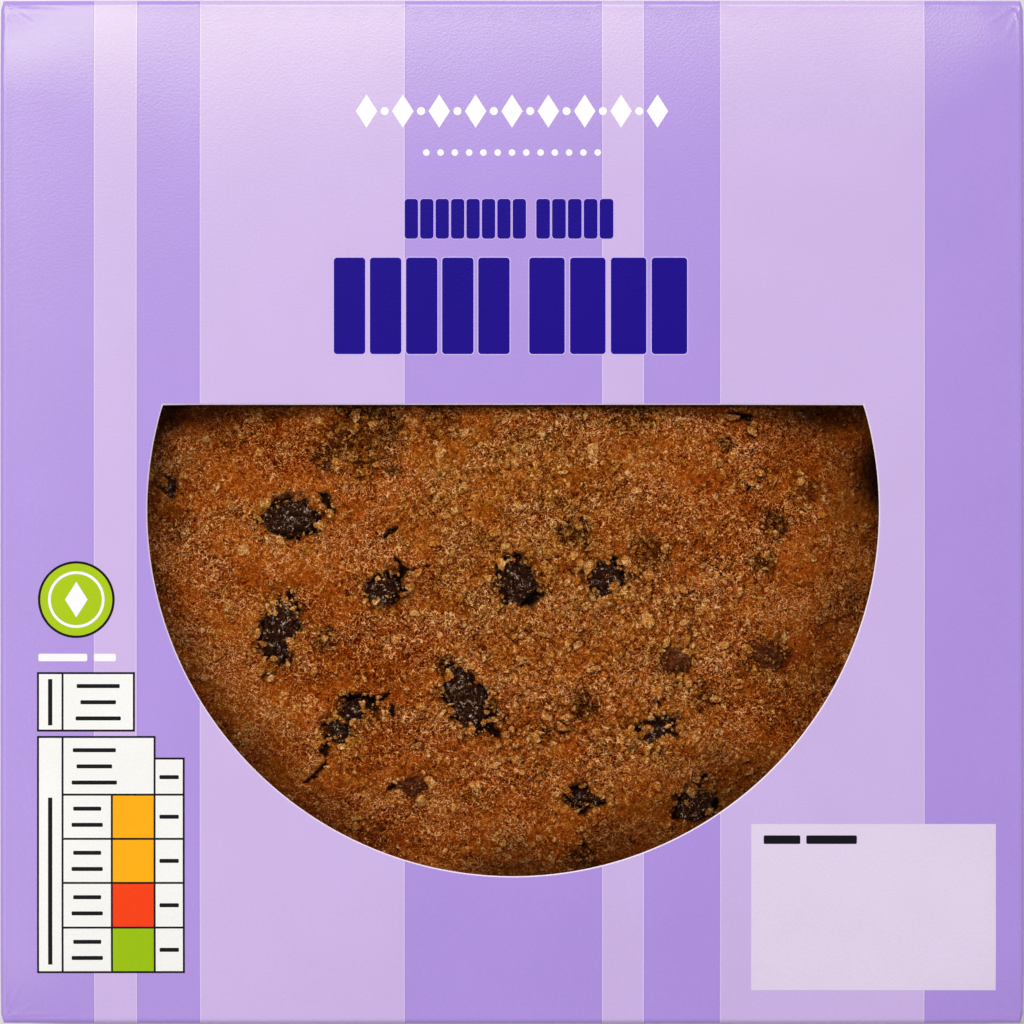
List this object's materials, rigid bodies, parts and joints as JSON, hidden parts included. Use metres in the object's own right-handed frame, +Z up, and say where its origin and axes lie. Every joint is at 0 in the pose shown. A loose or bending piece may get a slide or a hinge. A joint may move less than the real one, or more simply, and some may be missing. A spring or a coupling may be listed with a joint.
{
  "type": "boxed fruit cake",
  "caption": "Round fruit cake with dried fruit in its domed baked top, inside a shut square board carton with a film window shaped as a circle cut off straight on one side.",
  "frame": {"origin": "middle of the carton's base, on the surface it lies on", "axes": "+Z up out of the window side, +Y towards the window's straight edge, +X to the right of someone who sees the window with its straight edge on the far side"},
  "size_m": [0.19, 0.19, 0.062],
  "materials": {
    "printed_board": "coated folding board printed in two lilacs, satin varnish",
    "clear_film": "clear packaging film",
    "cake_crust": "browned, crumbly baked crust",
    "raisin": "dark wrinkled dried fruit",
    "sultana": "brown wrinkled dried fruit"
  },
  "bodies": {
    "root": {"carton": "printed_board", "window_film": "clear_film", "cake": "cake_crust", "raisin_1": "raisin", "raisin_2": "raisin", "raisin_3": "raisin", "raisin_4": "raisin", "raisin_5": "raisin", "raisin_6": "raisin", "raisin_7": "raisin", "raisin_8": "raisin", "raisin_9": "raisin", "raisin_10": "raisin", "raisin_11": "raisin", "raisin_12": "raisin", "raisin_13": "raisin", "raisin_14": "raisin", "raisin_15": "raisin", "raisin_16": "raisin", "sultana_1": "sultana", "sultana_2": "sultana", "sultana_3": "sultana", "sultana_4": "sultana"}
  },
  "joints": []
}
